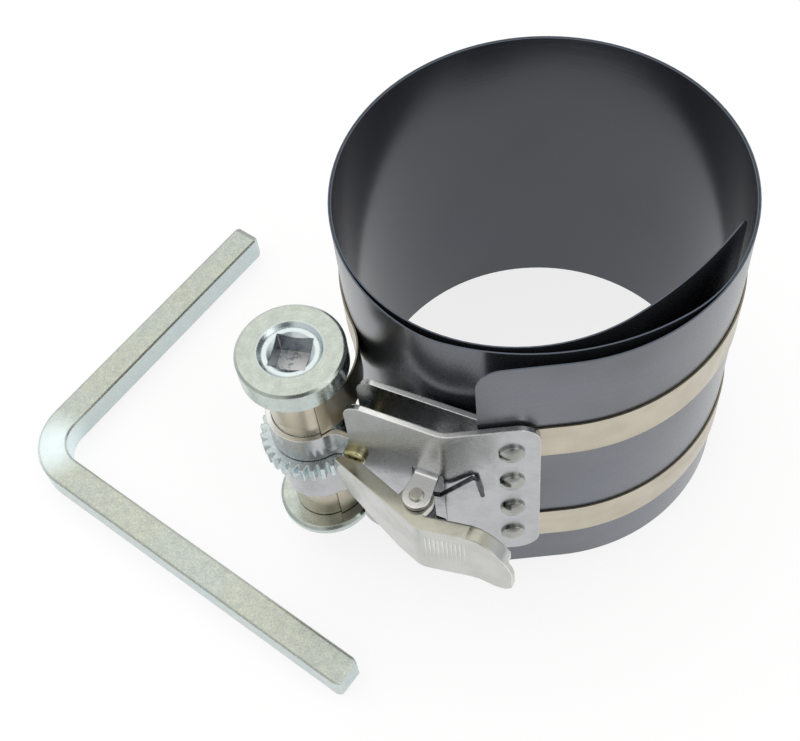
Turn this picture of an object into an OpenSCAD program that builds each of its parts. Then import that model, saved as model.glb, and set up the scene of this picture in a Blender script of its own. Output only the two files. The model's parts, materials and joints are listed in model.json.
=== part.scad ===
// Piston ring compressor: a sleeve of rolled spring steel, drawn in by two bands
// that a ratcheted spindle winds up, with the loose square key that turns the spindle.
// The origin is on the sleeve's axis, on the plane that the sleeve stands on, and +Z is up.

/* [Sleeve] */
// Height of the rolled sheet
sleeve_h = 80; // [70:1:110]
// Outer radius of the rolled sheet
sleeve_r = 42; // [38:0.5:60]
// Thickness of the spring steel sheet
sheet_t = 0.3; // [0.25:0.05:0.5]
// Gap between two turns of the sheet where they lie together
turn_gap = 0.1; // [0.05:0.05:0.3]
// Straight length of the outer flap past the tangent point
flap_len = 17.5; // [15:0.5:20]
// Corner radius of the outer flap
flap_corner_r = 5; // [2:0.5:8]
// Direction in which the sheet starts to pass under its first turn, in degrees
dive_start = 226; // [220:1:230]
// Direction in which the sheet lies against its first turn again, in degrees
dive_end = 322; // [315:1:335]
// Bend radius where the sheet starts to pass under
dive_bend_r = 24; // [18:1:30]
// How far the sheet stands inside its first turn at the middle of that pass
dive_depth = 2.6; // [2:0.1:3.2]
// Direction in which the innermost flap springs free, in degrees
inner_start = 190; // [186:1:194]
// Bend radius at the start of the innermost flap
inner_bend_r = 36.75; // [36:0.25:37.5]
// Angle of that bend, in degrees
inner_bend_a = 108; // [104:1:112]
// Radius of the flat part of the innermost flap
inner_flat_r = 85; // [75:1:95]
// Length of the rounded tab at the innermost end
tip_len = 3.5; // [3:0.5:4.5]
// Corner radius of that tab
tip_corner_r = 3; // [2:0.5:3]
// How far that end stops short of the turn outside it, along the flap
tip_free = 3.5; // [3:0.1:4]

/* [Bands] */
// Width of each band
band_w = 10.5; // [8:0.5:12]
// Thickness of each band
band_t = 0.35; // [0.25:0.05:0.4]
// Height of the middle between the two bands
mid_z = 36; // [34:0.5:50]
// Distance between the middles of the two bands
band_pitch = 35.5; // [33:0.5:38]
// How far a band reaches past the tangent point under the bracket's plate
band_tail = 15.5; // [14:0.5:17]
// Gap that keeps a band off the surface that it lies on
band_gap = 0.1; // [0.05:0.05:0.15]
// Direction in which a band leaves the sleeve, in degrees
leave_a = 198; // [192:1:200]

/* [Spindle] */
// Distance of the spindle's axis from the sleeve's surface
spindle_off = 15.5; // [14:0.5:18]
// Direction of the spindle's axis from the sleeve's axis, in degrees
spindle_a = 205.8; // [203:0.1:208]
// Height of the spindle's lower end
spindle_z0 = 10; // [4:0.5:10]
// Height of the top face of the head
head_z1 = 69.5; // [66:0.5:80]
// Thickness of the head
head_h = 6; // [5:0.5:8]
// Radius of the head
head_r = 11.1; // [9.5:0.1:12]
// Radius of the peened end in the head
tenon_r = 5.8; // [5.6:0.05:6]
// Radius of the countersink around the peened end
mouth_r = 6.6; // [6.2:0.1:7]
// How far the peened end lies below the head's top face
tenon_drop = 0.9; // [0.5:0.1:1.5]
// Radius of the two bearings of the spindle
journal_r = 7.2; // [7:0.1:7.5]
// Radius of the two necks that the bands are wound on
neck_r = 5.9; // [5.8:0.05:6]
// Width across the flats of the square socket
socket_w = 7.5; // [6.9:0.1:7.6]
// Depth of the square socket below the head's top face
socket_depth = 6.5; // [5:0.5:12]
// Turn of the socket about the spindle's axis, in degrees
socket_a = -16; // [-45:1:45]
// Radius of the flange at the lower end
flange_r = 10.9; // [9:0.1:11.5]
// Thickness of that flange
flange_h = 2.7; // [2:0.1:2.7]
// Outer radius of a wound band
coil_r = 7.2; // [7.1:0.05:7.4]
// Half turns of band wound on the spindle
coil_halves = 4; // [2:1:4]

/* [Ratchet] */
// Number of teeth
teeth = 30; // [24:1:40]
// Radius over the tips of the teeth
wheel_r = 10.9; // [10:0.1:11]
// Depth of the teeth
tooth_h = 1.4; // [0.8:0.1:1.8]
// Thickness of the ratchet wheel
wheel_h = 4; // [3:0.2:5]
// Height of the wheel's middle above the middle between the bands
wheel_rise = 2; // [-2:0.2:2]

/* [Bracket] */
// Thickness of the bracket's sheet
plate_t = 1.2; // [1:0.1:1.5]
// Height of the bracket's plate
plate_h = 51; // [47:0.5:54]
// Distance of the plate's free edge from the tangent point
plate_edge = 5.5; // [4:0.5:7]
// Corner radius of the plate
plate_corner_r = 5; // [2:0.5:6]
// Angle between the leaves and the plate, in degrees
leaf_a = 28; // [25:1:32]
// Gap between the two leaves
leaf_gap = 5; // [4.4:0.2:5.4]
// Inner radius of the bends next to the two eyes
eye_bend_r = 3; // [2.5:0.25:4]
// Inner radius of the bend between leaf and plate
leaf_bend_r = 6; // [4:1:10]
// Distance from the spindle's axis to the free ends of the leaves
leaf_start = 11.6; // [11.4:0.1:13]
// Corner radius of the free ends of the leaves
leaf_corner_r = 4; // [2:0.5:6]
// Width of the two ears at the pivot pin
ear_w = 5.8; // [5.4:0.2:6.4]
// Width of the two ears at their bend
ear_foot_w = 5; // [4:0.2:5.2]
// Inner radius of the ears' bend
ear_bend_r = 0.8; // [0.5:0.1:1.2]
// Clearance between parts that turn past each other
run_gap = 0.3; // [0.25:0.05:0.4]
// Radial clearance of a shaft in its bearing
bearing_gap = 0.08; // [0.05:0.01:0.1]

/* [Rivets] */
// Distance of the rivets from the tangent point
rivet_x = 11.2; // [10:0.2:12.5]
// Distance between neighbouring rivets
rivet_pitch = 11.5; // [11:0.1:12.5]
// Radius of a rivet's shank
rivet_r = 1.5; // [1.2:0.1:2]
// Radius of a rivet's head
rivet_head_r = 2.6; // [2.3:0.1:3]
// Height of a rivet's head
rivet_head_h = 1.7; // [1.2:0.1:2]
// Height of the straight edge of a rivet's head
rivet_edge_h = 0.5; // [0.2:0.1:0.8]
// Height of a rivet's closing head
rivet_tail_h = 0.6; // [0.4:0.1:0.8]

/* [Release lever] */
// Distance of the pivot pin from the spindle's axis along the leaves
pivot_t = 28.7; // [27.5:0.1:29.2]
// Distance of the pivot pin from the spindle's axis across the leaves
pivot_n = 9; // [8.7:0.1:9.4]
// Height of the lever
lever_h = 17.4; // [16:0.2:19]
// Height of the lever's middle below the middle between the bands
lever_drop = 1.3; // [0:0.1:2]
// Height of the lever's tip at the wheel
tip_h = 6; // [5:0.2:8]
// Height of the lever's arm where its lower edge bends
elbow_h = 11.6; // [10:0.2:13]
// Distance of that bend from the tip along the leaves
elbow_t = 3; // [2:0.2:5]
// Thickness of the lever's sheet
lever_t = 1.2; // [1:0.1:1.4]
// Angle of the arm that points at the wheel, in degrees
arm_a = 20.8; // [19:0.2:22]
// Length of that arm from the tip to the knee
arm_len = 22; // [21:0.5:23]
// Clearance of the tip over the teeth
tip_gap = 0.45; // [0.3:0.05:0.6]
// Outer radius of the knee
knee_r = 5; // [3:0.5:7]
// Angle of the waist to the leaves, in degrees
waist_a = 9; // [5:1:12]
// Length of the waist
waist_len = 9; // [7:0.5:10]
// Radius of the curve into the thumb piece
thumb_bend_r = 14; // [8:1:20]
// Angle by which the thumb piece turns out, in degrees
thumb_a = 14; // [8:1:18]
// Length of the thumb piece
thumb_len = 6.5; // [5:0.5:10]
// Upper corner radius of the thumb piece
thumb_corner_r = 11; // [8:0.5:11]
// Lower corner radius of the thumb piece
thumb_low_r = 5; // [3:0.5:5]
// Width of the flanges along the lever
flange_w = 3.2; // [2.6:0.1:3.6]
// Radius of the flanges around the pivot pin
boss_r = 3.5; // [3.4:0.1:3.7]
// How far the flanges stop short of the thumb piece's end
flange_end = 1.8; // [1.6:0.1:4]
// Distance between grip grooves
groove_pitch = 0.9; // [0.8:0.1:1.2]
// Depth of the grip grooves at their upper ends
groove_depth = 0.2; // [0.1:0.05:0.3]
// Height of the grip grooves
groove_h = 11.5; // [6:0.5:12]
// Height of the grip grooves' lower ends over the lever's lower edge
groove_low = 2.6; // [1.4:0.1:3]

/* [Pin, spring and screw] */
// Radius of the pivot pin
pin_r = 1.3; // [1.1:0.1:1.5]
// Radius of the pivot pin's heads
pin_head_r = 1.6; // [1.6:0.1:2]
// Height of the pivot pin's heads
pin_head_h = 0.9; // [0.5:0.1:1.2]
// Diameter of the spring's wire
wire_d = 1; // [0.7:0.05:1]
// Middle radius of the spring's coil
spring_r = 3; // [2.8:0.1:3]
// Turns of the spring's coil
spring_turns = 5; // [3:1:6]
// Distance between the spring's turns
spring_pitch = 1.5; // [1.1:0.1:1.8]
// Distance of the spring's hook from the bend between leaf and plate
hook_reach = 5.5; // [5:0.1:6]
// Height of the hook's top over the spring's coil
hook_rise = 5; // [2:0.5:6]
// Length of the hook
hook_len = 8; // [5:0.5:9]
// Distance of the clamp screw from the spindle's axis
screw_t = 12.6; // [12.4:0.1:13.5]
// Height of the clamp screw over the wheel's upper face
screw_rise = 2.6; // [2.2:0.1:3.5]
// Radius of the clamp screw's shank
screw_r = 1.5; // [1.2:0.1:1.7]
// Radius of the clamp screw's head
screw_head_r = 2.5; // [2.2:0.1:2.6]
// Height of the clamp screw's head
screw_head_h = 1.5; // [1.2:0.1:1.8]
// Width of the arms of its cross recess
cross_w = 0.8; // [0.6:0.1:1]
// Length of those arms from end to end
cross_len = 3.4; // [2.4:0.2:4]
// Width across the flats of the clamp screw's nut
nut_w = 5.5; // [5:0.25:6]
// Thickness of that nut
nut_h = 2.2; // [1.6:0.2:2.4]

/* [Key] */
// Width of the key's square bar
key_w = 7.2; // [6.5:0.1:7.3]
// Length of the short leg from the corner of the two axes
key_short = 81; // [60:1:100]
// Length of the long leg from the corner of the two axes
key_long = 98.5; // [70:1:120]
// Inner radius of the key's bend
key_bend_r = 7; // [4:0.5:9]
// Chamfer along the bar's edges
key_edge = 0.5; // [0.3:0.1:0.8]
// Chamfer at the bar's ends
key_end = 1.3; // [0.8:0.1:2]
// Sideways distance of the key's corner from the sleeve's axis
key_off = 124.1; // [115:0.1:160]
// Distance of the key's corner in front of the sleeve's axis
key_front = 3.1; // [0:0.1:20]
// Direction of the key's short leg, in degrees
key_a = 48.9; // [40:0.1:55]

/* [Hidden] */
$fn = 96;

// Heights of the bands, the wheel, the eyes and the lever
band_z = [mid_z - band_pitch / 2 - band_w / 2, mid_z + band_pitch / 2 - band_w / 2];
wheel_z0 = mid_z + wheel_rise - wheel_h / 2;
wheel_z1 = wheel_z0 + wheel_h;
lower_eye = [band_z[0] + band_w + run_gap, wheel_z0 - run_gap];
upper_eye = [wheel_z1 + run_gap, band_z[1] - run_gap];
lever_z0 = mid_z - lever_drop - lever_h / 2;
lever_z1 = lever_z0 + lever_h;

// The sheet's pass under its first turn: a bend, a flatter stretch and a second bend
lie_r = sleeve_r - sheet_t - turn_gap;
dive_half = (dive_end - dive_start) / 2;
dive_in = (sleeve_r - dive_bend_r) * [cos(dive_half), sin(dive_half)];
dive_rise = sleeve_r - dive_depth - dive_bend_r;
dive_shift = (dive_rise ^ 2 - dive_in * dive_in) / (2 * (dive_in[0] - dive_rise));
dive_flat_r = dive_bend_r + norm(dive_in + [dive_shift, 0]);
dive_cos = 2 * dive_shift * cos(dive_half);
rejoin_r = (lie_r ^ 2 + dive_cos * lie_r + dive_shift ^ 2 - dive_flat_r ^ 2)
           / (2 * lie_r + dive_cos - 2 * dive_flat_r);
dive_turn = atan2(dive_in[1], dive_in[0] + dive_shift);
rejoin_in = (lie_r - rejoin_r) * [cos(dive_half), sin(dive_half)];
rejoin_turn = atan2(rejoin_in[1], rejoin_in[0] + dive_shift);

// The innermost flap's flat stretch, up to where its tip nears the turn outside it
flat_dir = inner_start + inner_bend_a;
flat_c = (lie_r - inner_bend_r) * [cos(inner_start), sin(inner_start)]
         - (inner_flat_r - inner_bend_r) * [cos(flat_dir), sin(flat_dir)];
tip_r = lie_r - sheet_t - turn_gap;
tip_cos = (tip_r ^ 2 - flat_c * flat_c - inner_flat_r ^ 2) / (2 * inner_flat_r * norm(flat_c));
tip_dir = atan2(flat_c[1], flat_c[0]) + 360 - acos(tip_cos);
flat_turn = tip_dir - flat_dir - (tip_len + tip_free) / inner_flat_r * 180 / PI;

// The spindle's axis and each band's loose run from the sleeve to the spindle
spindle_d = sleeve_r + spindle_off;
spindle_p = spindle_d * [cos(spindle_a), sin(spindle_a)];
band_r = sleeve_r + band_gap + band_t;
run_r = coil_r + run_gap;
leave_d = spindle_d * cos(spindle_a - leave_a);
run_bend_r = (run_r ^ 2 - band_r ^ 2 + 2 * band_r * leave_d - spindle_d ^ 2)
             / (2 * (band_r + run_r - leave_d));
run_c = (band_r + run_bend_r) * [cos(leave_a), sin(leave_a)];
reach_a = atan2(spindle_p[1] - run_c[1], spindle_p[0] - run_c[0]);
run_turn = leave_a - 180 - reach_a;
coil_step = band_t + 0.2 * band_t;

// The bracket, in a frame on the spindle's axis with X along the leaves to the sleeve
eye_r = journal_r + bearing_gap;
leaf_n = leaf_gap / 2;
eye_ref_r = eye_bend_r + plate_t;
eye_open = 90 - asin((leaf_n + eye_ref_r) / (eye_r + eye_ref_r));
leaf_t0 = (eye_r + eye_ref_r) * sin(eye_open);
leaf_dir = [cos(leaf_a), -sin(leaf_a)];
leaf_up = [sin(leaf_a), cos(leaf_a)];
plate_y = -(sleeve_r + 2 * band_gap + band_t);
back_y = -(sleeve_r - sheet_t - band_gap);
front_t1 = (spindle_p[1] - leaf_n * leaf_up[1] - plate_y) / sin(leaf_a);
back_t1 = (spindle_p[1] + leaf_n * leaf_up[1] - back_y) / sin(leaf_a);
front_x1 = spindle_p[0] + front_t1 * leaf_dir[0] - leaf_n * leaf_up[0];
back_x1 = spindle_p[0] + back_t1 * leaf_dir[0] + leaf_n * leaf_up[0];
front_cut = leaf_bend_r * tan(leaf_a / 2);
back_ref_r = leaf_bend_r + plate_t;
back_cut = back_ref_r * tan(leaf_a / 2);
leaf_out = leaf_n + plate_t;
plate_z0 = mid_z - plate_h / 2;
ear_z1 = lever_z1 + run_gap + plate_t;
ear_z0 = lever_z0 - run_gap - plate_t;

// The lever, in the same frame: the tip's outer corner and the thumb piece's end
lever_side = [sin(arm_a), cos(arm_a)];
tip_far = wheel_r + tip_gap;
tip_line = pivot_n - pivot_t * tan(arm_a) + (boss_r + lever_t + run_gap) / cos(arm_a);
tip_foot = tip_line * cos(arm_a) - lever_t;
tip_along = sqrt(tip_far ^ 2 - tip_foot ^ 2);
tip_p = tip_along * [cos(arm_a), -sin(arm_a)] - (tip_foot + lever_t) * lever_side;
knee_a = arm_a + waist_a;
pivot_p = [pivot_t, -pivot_n];
screw_z = wheel_z1 + screw_rise;
swing = 2 * sleeve_h;

// The rivets' grip from the plate's inner face to the back plate's inner face
rivet_grip = back_y + plate_t - plate_y;
// How much thinner every second step of a strip is on each side, and how far it reaches over
skin = 0.005;
lap = 0.1;

// Places a shape in the bracket's frame
module at_spindle() {
    translate([spindle_p[0], spindle_p[1], 0]) rotate(-leaf_a) children();
}

// A strip of sheet that stands on edge and follows lines and bends. Its right side starts
// at the origin towards +X. Each step is ["line", length], ["left", radius, angle] or
// ["right", radius, angle], where the radius is that of the right side. The child, if there
// is one, is drawn at the end. Every second step is a hair thinner and reaches into its
// neighbours, so that the steps grow together into one piece.
module strip(steps, t, z0, h, i = 0, first = 0) {
    if (i < len(steps)) {
        s = steps[i];
        thin = (i + first) % 2 * skin;
        more = (i + first) % 2 * lap;
        if (s[0] == "line") {
            translate([-more, thin, z0 + thin]) cube([s[1] + 2 * more, t - 2 * thin, h - 2 * thin]);
            translate([s[1], 0, 0]) strip(steps, t, z0, h, i + 1, first) children();
        }
        if (s[0] == "left") {
            over = more / s[1] * 180 / PI;
            translate([0, s[1], 0])
                rotate_extrude(angle = s[2] + 2 * over, start = -90 - over)
                    translate([s[1] - t + thin, z0 + thin]) square([t - 2 * thin, h - 2 * thin]);
            translate([0, s[1], 0]) rotate(s[2]) translate([0, -s[1], 0])
                strip(steps, t, z0, h, i + 1, first) children();
        }
        if (s[0] == "right") {
            over = more / s[1] * 180 / PI;
            translate([0, -s[1], 0])
                rotate_extrude(angle = s[2] + 2 * over, start = 90 - s[2] - over)
                    translate([s[1] + thin, z0 + thin]) square([t - 2 * thin, h - 2 * thin]);
            translate([0, -s[1], 0]) rotate(-s[2]) translate([0, s[1], 0])
                strip(steps, t, z0, h, i + 1, first) children();
        }
    } else {
        children();
    }
}

// A flat tab at a strip's end, along +X, with two rounded outer corners
module tab(l, t, z0, h, r) {
    translate([0, t - skin, z0]) rotate([90, 0, 0]) linear_extrude(t - 2 * skin) {
        translate([-lap, skin]) square([l - r + lap, h - 2 * skin]);
        translate([0, r]) square([l, h - 2 * r]);
        for (z = [r, h - r]) translate([l - r, z]) circle(r - skin);
    }
}

// A bar that cuts a strip's corner to a rounded one, on the side of +X and +Z. Its curve is a
// hair wider than the corner, so that it crosses the strip's edges and doesn't just touch them.
module corner_cut(r, t) {
    difference() {
        translate([0, -t, 0]) cube([r + 1, 2 * t, r + 1]);
        rotate([90, 0, 0]) cylinder(r = r + 2 * skin, h = 4 * t, center = true);
    }
}

module sleeve() {
    color("#4b4f58") difference() {
        union() {
            translate([0, -sleeve_r, 0]) {
                mirror([1, 0, 0]) tab(flap_len, sheet_t, 0, sleeve_h, flap_corner_r);
                strip([["left", sleeve_r, dive_start + 90],
                       ["left", dive_bend_r, dive_half - dive_turn],
                       ["left", dive_flat_r, dive_turn + rejoin_turn],
                       ["left", rejoin_r, dive_half - rejoin_turn],
                       ["left", lie_r, inner_start + 360 - dive_end],
                       ["left", inner_bend_r, inner_bend_a],
                       ["left", inner_flat_r, flat_turn]], sheet_t, 0, sleeve_h)
                    tab(tip_len, sheet_t, 0, sleeve_h, tip_corner_r);
            }
        }
        rivet_holes();
    }
}

// A band from under the plate, round the sleeve and on to the spindle
module band(z0) {
    color("#c3b9a5") difference() {
        translate([-band_tail, -band_r, 0])
            strip([["line", band_tail], ["left", band_r, leave_a + 90], ["right", run_bend_r, run_turn]],
                  band_t, z0, band_w, first = 1);
        rivet_holes();
    }
}

// The turns of a band that lie on the spindle
module winding(z0) {
    color("#bfb5a2") translate([spindle_p[0], spindle_p[1], 0]) rotate(reach_a)
        translate([coil_r - band_t, 0, 0]) rotate(-90)
            strip([for (i = [0:coil_halves - 1])
                       ["right", coil_r - band_t - i * coil_step / 2, 180]], band_t, z0, band_w);
}

// Places a shape at each rivet, with +Z out of the plate
module at_rivet(i) {
    translate([-rivet_x, plate_y, mid_z + (i - 1.5) * rivet_pitch]) rotate([90, 0, 0]) children();
}

module rivet_holes() {
    for (i = [0:3])
        at_rivet(i) translate([0, 0, -rivet_grip - band_gap])
            cylinder(r = rivet_r + bearing_gap, h = rivet_grip + plate_t + 2 * band_gap);
}

// A rivet with a domed head on the plate and a flat closing head behind the back leaf
module rivet(i) {
    dome_h = rivet_head_h - rivet_edge_h;
    dome_r = (rivet_head_r ^ 2 + dome_h ^ 2) / (2 * dome_h);
    color("#b9b9b4") at_rivet(i) {
        translate([0, 0, -rivet_grip]) cylinder(r = rivet_r, h = rivet_grip + plate_t);
        translate([0, 0, -rivet_grip - rivet_tail_h]) cylinder(r = rivet_head_r, h = rivet_tail_h);
        translate([0, 0, plate_t]) intersection() {
            translate([0, 0, rivet_head_h - dome_r]) sphere(dome_r);
            cylinder(r = rivet_head_r - skin, h = rivet_head_h);
        }
    }
}

// The folded sheet: plate, front leaf, loop round the spindle, back leaf and back plate
module bracket_strip() {
    front_leaf = front_t1 - front_cut - leaf_t0;
    back_leaf = back_t1 - back_cut - leaf_t0;
    back_plate = -plate_edge - back_x1 - back_cut;
    translate([-plate_edge, plate_y, 0]) rotate(180)
        strip([["line", -plate_edge - front_x1 - front_cut], ["right", leaf_bend_r, leaf_a],
               ["line", front_leaf], ["left", eye_ref_r, eye_open],
               ["right", eye_r, 180 + 2 * eye_open], ["left", eye_ref_r, eye_open],
               ["line", back_leaf], ["left", back_ref_r, leaf_a], ["line", back_plate]],
              plate_t, plate_z0, plate_h);
}

// Everything cut from the loop, so that two eyes stay and the wheel and windings are free
module loop_cuts() {
    room = [leaf_start + swing, swing, swing];
    for (z = [[plate_z0 - swing, lower_eye[0]], [lower_eye[1], upper_eye[0]],
              [upper_eye[1], plate_z0 + plate_h + swing]])
        translate([leaf_start - room[0], -room[1] / 2, z[0]]) cube([room[0], room[1], z[1] - z[0]]);
    for (m = [0, 1])
        translate([leaf_start + leaf_corner_r, 0, mid_z]) mirror([0, 0, m]) mirror([1, 0, 0])
            translate([0, 0, plate_h / 2 - leaf_corner_r]) corner_cut(leaf_corner_r, swing / 4);
}

// An ear that is folded out of the front leaf, with its bend, seen from its outer face
module ear() {
    reach = pivot_n - leaf_out - ear_bend_r;
    flat = plate_t - 2 * skin;
    wide = ear_foot_w - 2 * skin;
    translate([0, -pivot_n, skin - plate_t]) {
        cylinder(r = ear_w / 2, h = flat);
        translate([0, 0, skin]) linear_extrude(flat - 2 * skin)
            polygon([[-ear_w / 2 + skin, 0], [ear_w / 2 - skin, 0],
                     [wide / 2, reach + lap], [-wide / 2, reach + lap]]);
    }
    translate([-ear_foot_w / 2, -leaf_out - ear_bend_r, ear_bend_r]) rotate([90, 0, 90])
        rotate_extrude(angle = 90, start = -90) translate([ear_bend_r, 0]) square([plate_t, ear_foot_w]);
    translate([-wide / 2, 4 * skin - leaf_out, ear_bend_r - lap]) cube([wide, plate_t - 8 * skin, 2 * lap]);
}

module bracket() {
    relief = [ear_w + 1, 2 * plate_t, ear_z1 - ear_z0 + 2 * ear_bend_r];
    color("#b4b5b4") difference() {
        union() {
            difference() {
                bracket_strip();
                at_spindle() {
                    loop_cuts();
                    translate([pivot_t - relief[0] / 2, -leaf_out - relief[1] / 4, ear_z0 - ear_bend_r])
                        cube(relief);
                }
            }
            at_spindle() {
                translate([pivot_t, 0, ear_z1]) ear();
                translate([pivot_t, 0, ear_z0]) mirror([0, 0, 1]) ear();
            }
        }
        for (m = [0, 1])
            translate([-plate_edge - plate_corner_r, plate_y, mid_z]) mirror([0, 0, m])
                translate([0, 0, plate_h / 2 - plate_corner_r]) corner_cut(plate_corner_r, 4 * plate_t);
        rivet_holes();
        at_spindle() {
            translate([screw_t, 0, screw_z]) rotate([90, 0, 0])
                cylinder(r = screw_r + bearing_gap, h = 4 * leaf_out, center = true);
            translate([pivot_p[0], pivot_p[1], mid_z]) cylinder(r = pin_r, h = swing, center = true);
        }
    }
}

module pivot_pin() {
    color("#a9a9a2") at_spindle() translate([pivot_p[0], pivot_p[1], 0]) {
        translate([0, 0, ear_z0]) cylinder(r = pin_r, h = ear_z1 - ear_z0);
        translate([0, 0, ear_z1]) cylinder(r1 = pin_head_r, r2 = pin_r, h = pin_head_h);
        translate([0, 0, ear_z0 - pin_head_h]) cylinder(r1 = pin_r, r2 = pin_head_r, h = pin_head_h);
    }
}

// The spring's middle line: the hooked leg on the plate, the coil, and the leg in the lever
spring_z1 = lever_z1 - lever_t - run_gap - wire_d;
spring_z0 = spring_z1 - spring_turns * spring_pitch;
hook_gap = wire_d / 2 + band_gap;
bend_t = front_t1 + plate_t * tan(leaf_a / 2);
hook_t = bend_t + hook_reach;
hook_n = -leaf_out + (hook_t - bend_t) * tan(leaf_a) - hook_gap / cos(leaf_a);
hook_z1 = spring_z1 + hook_rise;
// The hooked leg stays level until it is past the lever's boss and near the bend of the plate
level_t = max(pivot_t + boss_r, bend_t - wire_d);
coil_n = 24;
spring_path = concat(
    [[hook_t + wire_d, hook_n + wire_d * tan(leaf_a), hook_z1 - hook_len],
     [hook_t + wire_d / 4, hook_n + wire_d / 4 * tan(leaf_a), hook_z1 - wire_d],
     [hook_t - wire_d / 2, hook_n - wire_d / 2 * tan(leaf_a), hook_z1],
     [level_t, -leaf_out - 1.6 * wire_d, spring_z1]],
    [for (i = [0:spring_turns * coil_n + coil_n / 2])
        let (a = 90 + 360 * i / coil_n)
        [pivot_t + spring_r * cos(a), -pivot_n + spring_r * sin(a), spring_z1 - spring_pitch * i / coil_n]],
    [for (r = [spring_r / 2, spring_r])
        [pivot_t + r, -pivot_n - spring_r, spring_z0 - spring_pitch / 2]]);

function unit(v) = v / norm(v);
function heading(p, i) = unit(p[min(i + 1, len(p) - 1)] - p[max(i - 1, 0)]);
// Two directions across the wire at each point, carried along without twist
function frames(p, i, side) =
    i == len(p) ? [] :
    let (d = heading(p, i), s = unit(side - (side * d) * d))
    concat([[s, cross(d, s)]], frames(p, i + 1, s));

// A round wire of n sides along a path
module wire(p, d, n) {
    f = frames(p, 0, [0, 0.3, 1]);
    last = len(p) - 1;
    points = [for (i = [0:last], k = [0:n - 1])
                  p[i] + d / 2 * (cos(360 * k / n) * f[i][0] + sin(360 * k / n) * f[i][1])];
    sides = [for (i = [0:last - 1], k = [0:n - 1])
                 let (j = (k + 1) % n) [i * n + k, i * n + n + k, i * n + n + j, i * n + j]];
    polyhedron(points, concat([[for (k = [0:n - 1]) k]], sides,
                              [[for (k = [0:n - 1]) last * n + n - 1 - k]]));
}

module torsion_spring() {
    color("#3c3d40") at_spindle() wire(spring_path, wire_d, 8);
}

// The clamp screw's pan head with its cross recess, and its shank through both leaves
module clamp_screw() {
    length = 2 * leaf_out + nut_h + 1;
    color("#b9a75c") at_spindle() translate([screw_t, -leaf_out, screw_z]) rotate([90, 0, 0]) {
        translate([0, 0, -length]) cylinder(r = screw_r, h = length);
        difference() {
            rotate_extrude() {
                square([screw_head_r, screw_head_h / 2]);
                square([screw_head_r - screw_head_h / 2, screw_head_h]);
                translate([screw_head_r - screw_head_h / 2, screw_head_h / 2])
                    intersection() {
                        circle(screw_head_h / 2);
                        square(screw_head_h);
                    }
            }
            for (a = [45, 135])
                rotate(a) translate([-cross_len / 2, -cross_w / 2, screw_head_h / 3])
                    cube([cross_len, cross_w, screw_head_h]);
        }
    }
}

module clamp_nut() {
    color("#a8a89f") at_spindle() translate([screw_t, leaf_out + nut_h, screw_z]) rotate([90, 0, 0])
        difference() {
            cylinder(d = nut_w / cos(30), h = nut_h, $fn = 6);
            translate([0, 0, -nut_h]) cylinder(r = screw_r, h = 3 * nut_h);
        }
}

module spindle() {
    top = head_z1 - tenon_drop;
    color("#c2c6c0") translate([spindle_p[0], spindle_p[1], 0]) difference() {
        union() {
            translate([0, 0, spindle_z0]) cylinder(r = neck_r, h = head_z1 - head_h - spindle_z0);
            translate([0, 0, lower_eye[0]]) cylinder(r = journal_r, h = upper_eye[1] - lower_eye[0]);
            translate([0, 0, spindle_z0]) cylinder(r = tenon_r, h = top - spindle_z0);
        }
        rotate(socket_a) translate([-socket_w / 2, -socket_w / 2, head_z1 - socket_depth])
            cube([socket_w, socket_w, socket_depth]);
        translate([0, 0, top - 0.7]) cylinder(r1 = socket_w / 2, r2 = socket_w / 2 + 1.1, h = 0.71);
    }
}

// A ring with bevelled edges and a bore
module bevelled_ring(r, bore, h, bevel) {
    rotate_extrude()
        polygon([[bore, 0], [r - bevel, 0], [r, bevel], [r, h - bevel], [r - bevel, h], [bore, h]]);
}

module socket_head() {
    color("#c8cbbe") translate([spindle_p[0], spindle_p[1], head_z1 - head_h]) difference() {
        bevelled_ring(head_r, tenon_r, head_h, 0.6);
        translate([0, 0, head_h - tenon_drop]) cylinder(r1 = tenon_r, r2 = mouth_r, h = tenon_drop);
    }
}

module end_flange() {
    color("#b7b8ae") translate([spindle_p[0], spindle_p[1], spindle_z0])
        bevelled_ring(flange_r, neck_r, flange_h, 0.7);
}

// Saw teeth that let the wheel turn clockwise, seen from above, past the lever's tip
module ratchet_wheel() {
    step = 360 / teeth;
    root = wheel_r - tooth_h;
    shape = [[root, 0], [wheel_r, 0.14], [wheel_r, 0.52], [root, 0.9]];
    color("#c6ccce") translate([spindle_p[0], spindle_p[1], wheel_z0]) linear_extrude(wheel_h)
        difference() {
            polygon([for (i = [0:teeth - 1], s = shape)
                         s[0] * [cos((i + s[1]) * step), sin((i + s[1]) * step)]]);
            circle(journal_r);
        }
}

// The lever's outline along the leaves, seen from its outer side
module lever_outline() {
    x0 = tip_p[0] - 2;
    x1 = thumb_end();
    polygon([[x0, lever_z1], [x1, lever_z1], [x1, lever_z0], [pivot_t - boss_r, lever_z0],
             [tip_p[0] + elbow_t, lever_z1 - elbow_h], [tip_p[0], lever_z1 - tip_h], [x0, lever_z1 - tip_h]]);
}

// Distance of the thumb piece's end from the spindle's axis along the leaves
function thumb_end() =
    tip_p[0] + arm_len * cos(arm_a) + knee_r * (sin(arm_a) + sin(waist_a)) + waist_len * cos(waist_a)
    + thumb_bend_r * (sin(waist_a) - sin(waist_a - thumb_a)) + thumb_len * cos(waist_a - thumb_a);

lever_steps = [["line", arm_len], ["left", knee_r, knee_a], ["line", waist_len],
               ["right", thumb_bend_r - lever_t, thumb_a], ["line", thumb_len]];

module lever_strip(t, z0, h) {
    translate([tip_p[0], tip_p[1], 0]) rotate(-arm_a) strip(lever_steps, t, z0, h);
}

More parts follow.
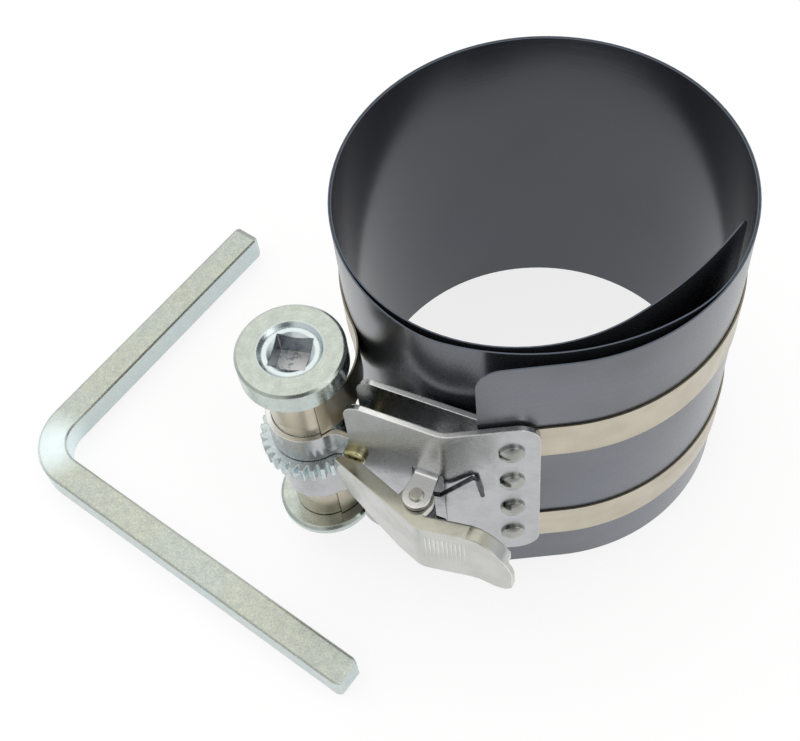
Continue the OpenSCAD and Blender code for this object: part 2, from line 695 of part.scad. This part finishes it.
// Grip grooves across the outer face of the waist, which run out towards the lower edge
module grip_grooves() {
    translate([tip_p[0], tip_p[1], 0]) rotate(-arm_a) translate([arm_len, knee_r, 0]) rotate(knee_a)
        for (i = [0:floor(waist_len / groove_pitch) - 1])
            translate([(i + 0.25) * groove_pitch, -knee_r, lever_z0 + groove_low])
                rotate([-atan(groove_depth / groove_h), 0, 0]) translate([0, -1, -1])
                    cube([groove_pitch / 2, 1, groove_h + 1]);
}

// A block with the lever's upper corner, seen along the sheet: what lies under its upper flange
module under_flange(r) {
    x = thumb_end() - thumb_corner_r;
    z = lever_z1 - thumb_corner_r;
    low = lever_z0 + lever_t;
    translate([0, -swing / 2, low]) cube([x, swing, z + r - low]);
    translate([0, -swing / 2, low]) cube([x + r, swing, z - low]);
    translate([x, 0, z]) rotate([90, 0, 0]) cylinder(r = r, h = swing, center = true);
}

// The lever's flanges before they are trimmed: one strip with the space between them taken out
module lever_rim() {
    intersection() {
        lever_strip(flange_w, lever_z0 - lap, lever_h + 2 * lap);
        translate([0, -swing / 2, lever_z0 - 1]) cube([thumb_end() - flange_end, swing, lever_h + 2]);
    }
}

// The lug of a flange round the pin
module lever_lug(z0) {
    lug = boss_r + run_gap + lever_t / 2;
    translate([pivot_p[0], pivot_p[1], z0 - 2 * lap]) rotate(-arm_a) {
        cylinder(r = boss_r, h = lever_t + 4 * lap);
        translate([-boss_r, -lug, 0]) cube([2 * boss_r, lug, lever_t + 4 * lap]);
    }
}

module release_lever() {
    color("#bdbdb8") at_spindle() difference() {
        intersection() {
            union() {
                lever_strip(lever_t, lever_z0 - 1, lever_h + 2);
                difference() {
                    lever_rim();
                    under_flange(thumb_corner_r - lever_t);
                }
                lever_lug(lever_z1 - lever_t);
                lever_lug(lever_z0);
            }
            translate([0, swing / 2, 0]) rotate([90, 0, 0]) linear_extrude(swing) lever_outline();
        }
        translate([pivot_p[0], pivot_p[1], mid_z])
            cylinder(r = pin_r + bearing_gap, h = swing, center = true);
        grip_grooves();
        translate([0, -leaf_out - screw_head_h - run_gap, lever_z0 - 1])
            cube([screw_t + screw_head_r + run_gap, swing, lever_h + 2]);
        translate([thumb_end() - thumb_corner_r, 0, lever_z1 - thumb_corner_r])
            corner_cut(thumb_corner_r, swing / 4);
        translate([thumb_end() - thumb_low_r, 0, lever_z0 + thumb_low_r]) mirror([0, 0, 1])
            corner_cut(thumb_low_r, swing / 4);
    }
}

// The bar's square section with chamfered edges, in the plane of X and Y
module bar_section() {
    a = key_w / 2;
    b = a - key_edge;
    polygon([[-b, -a], [b, -a], [a, -b], [a, b], [b, a], [-b, a], [-a, b], [-a, -b]]);
}

// A leg of the key along +X with a chamfered end
module key_leg(l) {
    a = key_w / 2;
    intersection() {
        rotate([90, 0, 90]) linear_extrude(l) bar_section();
        for_end(l, a);
        rotate([90, 0, 0]) for_end(l, a);
    }
}

module for_end(l, a) {
    translate([0, 0, -key_w]) linear_extrude(2 * key_w)
        polygon([[0, -a], [l - key_end, -a], [l, key_end / 2 - a],
                 [l, a - key_end / 2], [l - key_end, a], [0, a]]);
}

module key() {
    r = key_bend_r + key_w / 2;
    color("#c0c5bb") translate([-key_off, -key_front, key_w / 2]) rotate(key_a) {
        translate([r, 0, 0]) key_leg(key_short - r);
        rotate(-90) translate([r, 0, 0]) key_leg(key_long - r);
        translate([r, -r, 0]) rotate_extrude(angle = 90, start = 90) translate([r, 0]) bar_section();
    }
}

sleeve();
band(band_z[1]);  // upper_band
band(band_z[0]);  // lower_band
bracket();
rivet(0);  // rivet_1
rivet(1);  // rivet_2
rivet(2);  // rivet_3
rivet(3);  // rivet_4
pivot_pin();
torsion_spring();
clamp_screw();
clamp_nut();
spindle();
socket_head();
ratchet_wheel();
end_flange();
winding(band_z[1]);  // upper_winding
winding(band_z[0]);  // lower_winding
release_lever();
key();
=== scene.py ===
"""Looks of the piston ring compressor: materials, floor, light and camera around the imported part."""

import json
import math

import bpy
from mathutils import Matrix, Vector

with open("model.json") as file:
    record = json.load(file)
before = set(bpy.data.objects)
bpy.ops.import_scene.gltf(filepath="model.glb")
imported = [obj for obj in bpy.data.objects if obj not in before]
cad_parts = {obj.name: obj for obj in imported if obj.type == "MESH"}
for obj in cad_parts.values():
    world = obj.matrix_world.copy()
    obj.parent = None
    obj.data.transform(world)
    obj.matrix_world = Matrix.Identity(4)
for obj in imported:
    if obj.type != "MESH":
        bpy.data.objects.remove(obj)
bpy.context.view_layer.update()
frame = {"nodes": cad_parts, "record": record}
nodes = frame["nodes"]
scene = bpy.context.scene
scene.view_settings.view_transform = "Standard"

MM_PER_M = 1000

# The camera, fitted to the photo: places in metres, focal length in pixels of a picture 800 wide
FOCAL_PX = 1269.4
IMAGE_W_PX = 800
SENSOR_MM = 36.0
CLIP_START = 0.01
EYE = Vector((-0.02404, -0.16414, 0.27006))
TARGET = Vector((-0.03195, -0.01324, 0.040))
ROLL = math.radians(-8.53)


def make_camera():
    """A camera at EYE that looks at TARGET and is rolled about its line of sight."""
    data = bpy.data.cameras.new("camera")
    data.sensor_fit = "HORIZONTAL"
    data.sensor_width = SENSOR_MM
    data.lens = FOCAL_PX * SENSOR_MM / IMAGE_W_PX
    data.clip_start = CLIP_START
    camera = bpy.data.objects.new("camera", data)
    scene.collection.objects.link(camera)
    back = (EYE - TARGET).normalized()
    right = Vector((0, 0, 1)).cross(back).normalized()
    up = back.cross(right)
    x = math.cos(ROLL) * right + math.sin(ROLL) * up
    y = math.cos(ROLL) * up - math.sin(ROLL) * right
    placed = Matrix((x, y, back)).transposed().to_4x4()
    placed.translation = EYE
    camera.matrix_world = placed
    scene.camera = camera


make_camera()


def srgb(code):
    """Linear colour of a hex code such as "c8c8c4"."""
    out = []
    for i in (0, 2, 4):
        v = int(code[i:i + 2], 16) / 255
        out.append(v / 12.92 if v <= 0.04045 else ((v + 0.055) / 1.055) ** 2.4)
    return (*out, 1.0)


# The sockets of a mix node that take and give colours
MIX_A = 6
MIX_B = 7
MIX_OUT = 2


class Tree:
    """A node tree that is filled one node at a time. A value is a constant or another node's socket."""

    def __init__(self, node_tree):
        self.nodes = node_tree.nodes
        self.links = node_tree.links

    def add(self, kind):
        return self.nodes.new("ShaderNode" + kind)

    def put(self, socket, value):
        if isinstance(value, bpy.types.NodeSocket):
            self.links.new(value, socket)
        else:
            socket.default_value = value

    def calc(self, operation, a, b=0.0):
        node = self.add("Math")
        node.operation = operation
        self.put(node.inputs[0], a)
        self.put(node.inputs[1], b)
        return node.outputs[0]

    def vector(self, operation, a, b=(0, 0, 0)):
        node = self.add("VectorMath")
        node.operation = operation
        self.put(node.inputs[0], a)
        self.put(node.inputs[1], b)
        return node.outputs["Value" if operation in ("DOT_PRODUCT", "DISTANCE", "LENGTH") else "Vector"]

    def ramp(self, value, low, high, start=0.0, end=1.0):
        """Maps low..high of a value to start..end, smoothly."""
        node = self.add("MapRange")
        node.interpolation_type = "SMOOTHSTEP"
        self.put(node.inputs["Value"], value)
        self.put(node.inputs["From Min"], low)
        self.put(node.inputs["From Max"], high)
        self.put(node.inputs["To Min"], start)
        self.put(node.inputs["To Max"], end)
        return node.outputs["Result"]

    def mix(self, share, a, b):
        """Colour a with a share of colour b over it."""
        node = self.add("Mix")
        node.data_type = "RGBA"
        self.put(node.inputs["Factor"], share)
        self.put(node.inputs[MIX_A], a)
        self.put(node.inputs[MIX_B], b)
        return node.outputs[MIX_OUT]


class Metal(Tree):
    """A metal whose colour is laid on coat by coat. Its texture coordinates are in millimetres."""

    EDGE_SAMPLES = 6
    # One minus the cosine of the angle between face and rounded edge, where the wear and painted
    # highlight begin and are full
    EDGE_TURN = (0.02, 0.2)

    def __init__(self, name, colour, metallic=1.0):
        self.material = bpy.data.materials.new(name)
        self.material.use_nodes = True
        super().__init__(self.material.node_tree)
        self.shader = self.nodes["Principled BSDF"]
        self.shader.inputs["Metallic"].default_value = metallic
        place = self.add("TexCoord").outputs["Object"]
        self.mm = self.vector("MULTIPLY", place, (MM_PER_M, MM_PER_M, MM_PER_M))
        self.facing = self.add("NewGeometry").outputs["Normal"]
        self.rounded = None
        self.tone = srgb(colour)

    def coat(self, colour, share):
        """Lays a share of a colour, which is a hex code or a socket, over the tone so far."""
        over = srgb(colour) if isinstance(colour, str) else colour
        self.tone = self.mix(share, self.tone, over)

    def noise_at(self, place, scale, detail, rough):
        node = self.add("TexNoise")
        self.put(node.inputs["Vector"], place)
        self.put(node.inputs["Scale"], scale)
        self.put(node.inputs["Detail"], detail)
        self.put(node.inputs["Roughness"], rough)
        return node.outputs["Fac"]

    def noise(self, scale, detail=3.0, rough=0.55, stretch=(1, 1, 1), offset=(0, 0, 0)):
        """Noise with about this many features in a millimetre."""
        moved = self.vector("ADD", self.vector("MULTIPLY", self.mm, stretch), offset)
        return self.noise_at(moved, scale, detail, rough)

    def rings(self, centre_mm, pitch_mm):
        """Turning lines: a value that changes only with the distance from an upright axis."""
        flat = self.vector("MULTIPLY", self.vector("SUBTRACT", self.mm, centre_mm), (1, 1, 0))
        join = self.add("CombineXYZ")
        self.put(join.inputs["X"], self.calc("DIVIDE", self.vector("LENGTH", flat), pitch_mm))
        return self.noise_at(join.outputs[0], scale=1.0, detail=3.0, rough=0.5)

    def outward(self):
        """How much a face points away from the sleeve's axis, -1 to 1."""
        away = self.vector("NORMALIZE", self.vector("MULTIPLY", self.mm, (1, 1, 0)))
        return self.vector("DOT_PRODUCT", self.facing, away)

    def level(self):
        """How much a face points up or down, 0 to 1."""
        return self.calc("ABSOLUTE", self.vector("DOT_PRODUCT", self.facing, (0, 0, 1)))

    def near(self, point_mm, reach_mm):
        """A mask that is 1 within the first distance of a point and fades to 0 at the second."""
        full, gone = reach_mm
        return self.ramp(self.vector("DISTANCE", self.mm, point_mm), full, gone, 1.0, 0.0)

    def wear_and_highlight_edges(self, radius_mm, colour, share):
        """Rounds the edges' shading, and lays a share of a colour along them: wear with a painted
        highlight.
        """
        bevel = self.add("Bevel")
        bevel.samples = self.EDGE_SAMPLES
        bevel.inputs["Radius"].default_value = radius_mm / MM_PER_M
        self.rounded = bevel.outputs["Normal"]
        turn = self.calc("SUBTRACT", 1.0, self.vector("DOT_PRODUCT", self.rounded, self.facing))
        self.coat(colour, self.calc("MULTIPLY", self.ramp(turn, *self.EDGE_TURN), share))

    def finish(self, rough, relief, depth_mm):
        """Sets the colour, the roughness and a relief of this depth, and gives the material."""
        bump = self.add("Bump")
        bump.inputs["Strength"].default_value = 1.0
        bump.inputs["Distance"].default_value = depth_mm / MM_PER_M
        self.put(bump.inputs["Height"], relief)
        if self.rounded is not None:
            self.put(bump.inputs["Normal"], self.rounded)
        self.put(self.shader.inputs["Base Color"], self.tone)
        self.put(self.shader.inputs["Roughness"], rough)
        self.put(self.shader.inputs["Normal"], bump.outputs["Normal"])
        return self.material


def blued_steel():
    """Rolled spring sheet, blue-black tempered, with painted shade on inner faces and painted blue for
    the light on its rims.
    """
    m = Metal("blued_steel", "696b70", metallic=0.85)
    cloud = m.noise(0.03, detail=4)
    m.coat("767980", m.ramp(cloud, 0.35, 0.65))
    blue = m.noise(0.018, offset=(40, 7, 3))
    m.coat("6a7080", m.ramp(blue, 0.5, 0.8, 0, 0.45))
    streak = m.noise(1.0, rough=0.6, stretch=(0.05, 0.05, 2.2))
    m.coat("8c8f95", m.ramp(streak, 0.35, 0.75, 0, 0.12))
    grain = m.noise(5.0, detail=2)
    m.coat("989ca4", m.ramp(grain, 0.62, 0.74, 0, 0.25))
    # Painted shade: faces that look towards the sleeve's axis are darkened
    painted_inner_shade = m.ramp(m.outward(), -0.3, 0.3, 0.8, 0.0)
    m.coat("4f5055", painted_inner_shade)
    # Painted light: the rims' level faces take a blue tone for how the light falls on them
    painted_rim_line = m.ramp(m.level(), 0.6, 0.95, 0, 0.8)
    m.coat("545c68", painted_rim_line)
    rough = m.calc("ADD", m.ramp(cloud, 0.3, 0.7, 0.13, 0.19), m.ramp(grain, 0.3, 0.8, 0.0, 0.05))
    rough = m.calc("ADD", rough, m.ramp(painted_inner_shade, 0.0, 0.8, 0.07, 0.0))
    return m.finish(rough, streak, depth_mm=0.006)


def band_steel(name, smoothest, roughest):
    """Satin strip with a straw tint, fine lines along its length, flecks and duller edges."""
    m = Metal(name, "c3bcab")
    cloud = m.noise(0.12)
    m.coat("beb6a5", m.ramp(cloud, 0.3, 0.7))
    line = m.noise(1.0, detail=2, rough=0.6, stretch=(0.06, 0.06, 5.0))
    m.coat("dcd5c6", m.ramp(line, 0.45, 0.8, 0, 0.35))
    fleck = m.noise(3.0, detail=2, offset=(9, 2, 5))
    m.coat("9a8f78", m.ramp(fleck, 0.62, 0.75, 0, 0.2))
    m.coat("8f8878", m.ramp(m.level(), 0.6, 0.95))
    return m.finish(m.ramp(cloud, 0.3, 0.7, smoothest, roughest), line, depth_mm=0.006)


def plated_steel(name, light, shade, rough, edge_mm=0.3, painted_top_tone="f8f8f4", painted_top_share=0.0):
    """Pressed sheet or turned steel: bright plating, faint stains, scratches, worn edges with a painted
    highlight.

    Level faces take a share of a painted tone of their own, for how light falls on them."""
    m = Metal(name, light)
    cloud = m.noise(0.16, detail=4)
    m.coat(shade, m.ramp(cloud, 0.38, 0.68))
    scratch = m.noise(1.0, detail=2, rough=0.5, stretch=(0.25, 0.25, 7.0))
    m.coat("f4f4f0", m.ramp(scratch, 0.6, 0.85, 0, 0.14))
    stain = m.noise(0.7, offset=(3, 20, 8))
    m.coat("8d8b84", m.ramp(stain, 0.6, 0.85, 0, 0.08))
    # Painted light: level faces take a tone for how light falls on them
    m.coat(painted_top_tone, m.ramp(m.level(), 0.8, 0.97, 0, painted_top_share))
    # Edges: wear with a painted highlight
    m.wear_and_highlight_edges(edge_mm, "fbfbf7", share=0.8)
    stained = m.ramp(stain, 0.4, 0.8, 0.0, 0.08)
    roughness = m.calc("ADD", m.ramp(cloud, 0.3, 0.7, rough, rough + 0.08), stained)
    return m.finish(roughness, scratch, depth_mm=0.0015)


# The key's socket in the spindle's head: how deep the middles of its mouth, walls and floor lie, and
# how far from there their coats are full and gone
SOCKET = next(mount for mount in frame["record"]["mounts"] if mount["name"] == "key_socket")
SOCKET_MM = Vector(SOCKET["pos_m"]) * MM_PER_M
MOUTH_MM = SOCKET_MM - Vector((0, 0, 0.6))
MOUTH_REACH_MM = (6.5, 7.1)
# The walls' coat is painted shade
WALL_SHADE_MM = SOCKET_MM - Vector((0, 0, 3.1))
WALL_SHADE_REACH_MM = (6.2, 6.8)
# The floor's coat is painted light over its broken pattern
FLOOR_MM = SOCKET_MM - Vector((0, 0, 5.6))
FLOOR_REACH_MM = (4.9, 5.6)
# Distance between the turning lines
RING_PITCH_MM = 0.35
# The bend of the key, and how far its painted highlight reaches
BEND_MM = (-119.7, -2.8, 3.6)
BEND_HIGHLIGHT_REACH_MM = (3.0, 12.0)


def coat_socket(m):
    """A bright mouth, painted shade on the walls and painted light on a broken floor. Gives the floor's
    mask.
    """
    m.coat("e2eef2", m.calc("MULTIPLY", m.near(MOUTH_MM, MOUTH_REACH_MM), 0.7))
    floor = m.calc("MULTIPLY", m.near(FLOOR_MM, FLOOR_REACH_MM), m.ramp(m.level(), 0.8, 0.97))
    # Painted light: the floor is painted pale, over its broken pattern
    broken_floor_painted_light = m.mix(m.ramp(m.noise(0.8), 0.54, 0.64), srgb("ffffff"), srgb("c8ced2"))
    m.coat(broken_floor_painted_light, floor)
    # Painted shade on the socket's steep walls
    steep_wall_shade = m.ramp(m.level(), 0.3, 0.7, 0.7, 0.0)
    m.coat("757885", m.calc("MULTIPLY", m.near(WALL_SHADE_MM, WALL_SHADE_REACH_MM), steep_wall_shade))
    return floor


def zinc(name, light, shade, speckle, rough, edge_mm=0.4, turned=False, bend_highlight=False):
    """Zinc plating: straw-tinted on top, a painted blue-white reflection on the sides, crystal speckle,
    bright edges.

    Turned pieces show rings round the spindle, and the key bar has a painted highlight at its bend."""
    m = Metal(name, light)
    cloud = m.noise(0.5, detail=5, rough=0.65)
    m.coat(shade, m.ramp(cloud, 0.3, 0.7))
    tint = m.noise(0.06, detail=2, offset=(11, 5, 31))
    m.coat("b4c2ca", m.ramp(tint, 0.45, 0.75, 0, 0.3))
    grain = m.noise(2.6, rough=0.65)
    m.coat("e6e4cc", m.ramp(grain, 0.48, 0.64, 0, speckle))
    pit = m.noise(2.1, rough=0.6, offset=(5, 50, 2))
    m.coat("98a6aa", m.ramp(pit, 0.48, 0.64, 0, speckle))
    # Painted reflection: side faces take a bluish white
    painted_side_reflection = 0.3 if turned else 0.5
    m.coat("cfdfe6", m.ramp(m.level(), 0.2, 0.7, painted_side_reflection, 0.0))
    speckled = m.ramp(grain, 0.4, 0.8, 0.0, 0.1)
    roughness = m.calc("ADD", m.ramp(cloud, 0.3, 0.7, rough, rough + 0.1), speckled)
    relief = grain
    if turned:
        ring = m.rings(SOCKET_MM, RING_PITCH_MM)
        m.coat("a9afa6", m.ramp(ring, 0.35, 0.65, 0, 0.25))
        relief = m.calc("ADD", grain, m.calc("MULTIPLY", ring, 2.0))
        roughness = m.calc("MAXIMUM", roughness, m.calc("MULTIPLY", coat_socket(m), 0.65))
    # A painted highlight at the key's bend
    if bend_highlight:
        m.coat("e9f6f8", m.calc("MULTIPLY", m.near(BEND_MM, BEND_HIGHLIGHT_REACH_MM), 0.95))
    # Edges: wear with a painted highlight
    m.wear_and_highlight_edges(edge_mm, "fafaf0", share=0.75)
    return m.finish(roughness, relief, depth_mm=0.012)


def yellow_screw():
    """Yellow passivated steel with rubbed edges that carry a painted highlight."""
    m = Metal("yellow_passivated", "d6d0a4")
    cloud = m.noise(0.6)
    m.coat("b4aa78", m.ramp(cloud, 0.35, 0.7))
    # Edges: wear with a painted highlight
    m.wear_and_highlight_edges(0.2, "e6dfb4", share=0.6)
    return m.finish(m.ramp(cloud, 0.3, 0.7, 0.25, 0.38), m.noise(4.0, detail=2), depth_mm=0.008)


def spring_wire():
    """Dark drawn wire with an oily gloss."""
    m = Metal("oiled_wire", "5c5c60")
    cloud = m.noise(0.8)
    m.coat("3e3e42", m.ramp(cloud, 0.35, 0.7))
    return m.finish(m.ramp(cloud, 0.3, 0.7, 0.25, 0.4), m.noise(6.0, detail=2), depth_mm=0.006)


def dress(material, *names):
    """Gives these nodes one material."""
    for name in names:
        slots = nodes[name].data.materials
        slots.clear()
        slots.append(material)


# The bracket's level faces take a painted highlight
bright_plate = plated_steel("bright_plate", "babbbd", "b2b3b5", rough=0.19, painted_top_share=0.7)
# The lever's level faces take painted shade
pressed_plate = plated_steel("pressed_plate", "c4c5c1", "bcbdb8", rough=0.12, edge_mm=0.5,
                             painted_top_tone="aba996", painted_top_share=0.7)
rivet_steel = plated_steel("rivet_steel", "aeaea9", "94948e", rough=0.17, edge_mm=0.15)
pin_steel = plated_steel("pin_steel", "c9c7be", "aaa79b", rough=0.2, edge_mm=0.15)
zinc_turned = zinc("zinc_turned", "c8cfc6", "b7bfb8", speckle=0.2, rough=0.16, turned=True)
zinc_bright = zinc("zinc_bright", "d3dadb", "bcc6ca", speckle=0.3, rough=0.2)
zinc_drawn = zinc("zinc_drawn", "bec3b6", "b4bab0", speckle=0.45, rough=0.24, edge_mm=0.6, bend_highlight=True)

dress(blued_steel(), "sleeve")
dress(band_steel("band_steel", 0.3, 0.42), "upper_band", "lower_band")
dress(band_steel("wound_band", 0.16, 0.26), "upper_winding", "lower_winding")
dress(bright_plate, "bracket")
dress(pressed_plate, "release_lever")
dress(rivet_steel, "rivet_1", "rivet_2", "rivet_3", "rivet_4")
dress(pin_steel, "pivot_pin", "clamp_nut")
dress(zinc_turned, "spindle", "socket_head", "end_flange")
dress(zinc_bright, "ratchet_wheel")
dress(zinc_drawn, "key")
dress(yellow_screw(), "clamp_screw")
dress(spring_wire(), "torsion_spring")

# Smooth shading everywhere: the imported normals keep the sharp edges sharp
for node in nodes.values():
    for polygon in node.data.polygons:
        polygon.use_smooth = True

# The floor: half its side and its drop below the part in metres, its own grey, and the glow that
# makes it pale to the eye and in reflections
FLOOR_HALF = 3.0
FLOOR_DROP = 0.0002
FLOOR_GREY = (0.27, 0.27, 0.27, 1)
FLOOR_GLOW = 0.79


def make_floor():
    """A plain pale floor. Only the eye and reflections see its glow, so the part's shadow stays."""
    mesh = bpy.data.meshes.new("floor")
    corners = ((-1, -1), (1, -1), (1, 1), (-1, 1))
    mesh.from_pydata([(x * FLOOR_HALF, y * FLOOR_HALF, 0) for x, y in corners], [], [(0, 1, 2, 3)])
    floor = bpy.data.objects.new("floor", mesh)
    floor.location.z = -FLOOR_DROP
    scene.collection.objects.link(floor)
    material = bpy.data.materials.new("floor")
    material.use_nodes = True
    material.node_tree.nodes.clear()
    t = Tree(material.node_tree)
    diffuse = t.add("BsdfDiffuse")
    diffuse.inputs["Color"].default_value = FLOOR_GREY
    rays = t.add("LightPath").outputs
    seen = t.calc("MAXIMUM", rays["Is Camera Ray"], rays["Is Glossy Ray"])
    seen = t.calc("MAXIMUM", seen, rays["Is Transmission Ray"])
    glow = t.add("Emission")
    t.put(glow.inputs["Strength"], t.calc("MULTIPLY", seen, FLOOR_GLOW))
    both = t.add("AddShader")
    t.put(both.inputs[0], diffuse.outputs[0])
    t.put(both.inputs[1], glow.outputs[0])
    t.put(t.add("OutputMaterial").inputs["Surface"], both.outputs[0])
    mesh.materials.append(material)


# The room: its colours at the horizon and from some height up, and a dark patch that the metal mirrors,
# with the cosines of the angles from its middle at which it begins and is full
ROOM_STRENGTH = 0.8
HORIZON = (0.72, 0.76, 0.82, 1)
OVERHEAD = (1.0, 0.99, 0.96, 1)
OVERHEAD_FROM = 0.75
DARK_TOWARDS = (0.05, -0.74, 0.67)
DARK_SPREAD = (0.9, 0.97)
DARK_TONE = (0.12, 0.12, 0.13, 1)


def make_world():
    """A pale room that is cool at the horizon and warm overhead, with a dark patch high in front."""
    world = bpy.data.worlds.new("studio")
    scene.world = world
    world.use_nodes = True
    world.node_tree.nodes.clear()
    t = Tree(world.node_tree)
    direction = t.add("TexCoord").outputs["Generated"]
    split = t.add("SeparateXYZ")
    t.put(split.inputs[0], direction)
    rise = t.add("ValToRGB")
    low, high = rise.color_ramp.elements
    low.position = 0.0
    low.color = HORIZON
    high.position = OVERHEAD_FROM
    high.color = OVERHEAD
    t.put(rise.inputs["Fac"], split.outputs["Z"])
    dark = t.ramp(t.vector("DOT_PRODUCT", direction, DARK_TOWARDS), *DARK_SPREAD)
    room = t.add("Background")
    room.inputs["Strength"].default_value = ROOM_STRENGTH
    t.put(room.inputs["Color"], t.mix(dark, rise.outputs["Color"], DARK_TONE))
    t.put(t.add("OutputWorld").inputs["Surface"], room.outputs[0])


def make_light(name, place, aim, size, power):
    """A rectangular area light that faces a point."""
    data = bpy.data.lights.new(name, "AREA")
    data.shape = "RECTANGLE"
    data.size, data.size_y = size
    data.energy = power
    lamp = bpy.data.objects.new(name, data)
    lamp.location = place
    lamp.rotation_euler = (Vector(aim) - Vector(place)).to_track_quat("-Z", "Y").to_euler()
    scene.collection.objects.link(lamp)


make_floor()
make_world()
make_light("overhead", place=(-0.15, 0.35, 1.0), aim=(-0.05, 0, 0.03), size=(1.5, 1.2), power=2.2)
make_light("fill", place=(0.6, -0.4, 0.6), aim=(0.0, 0, 0.04), size=(0.5, 0.5), power=0.7)
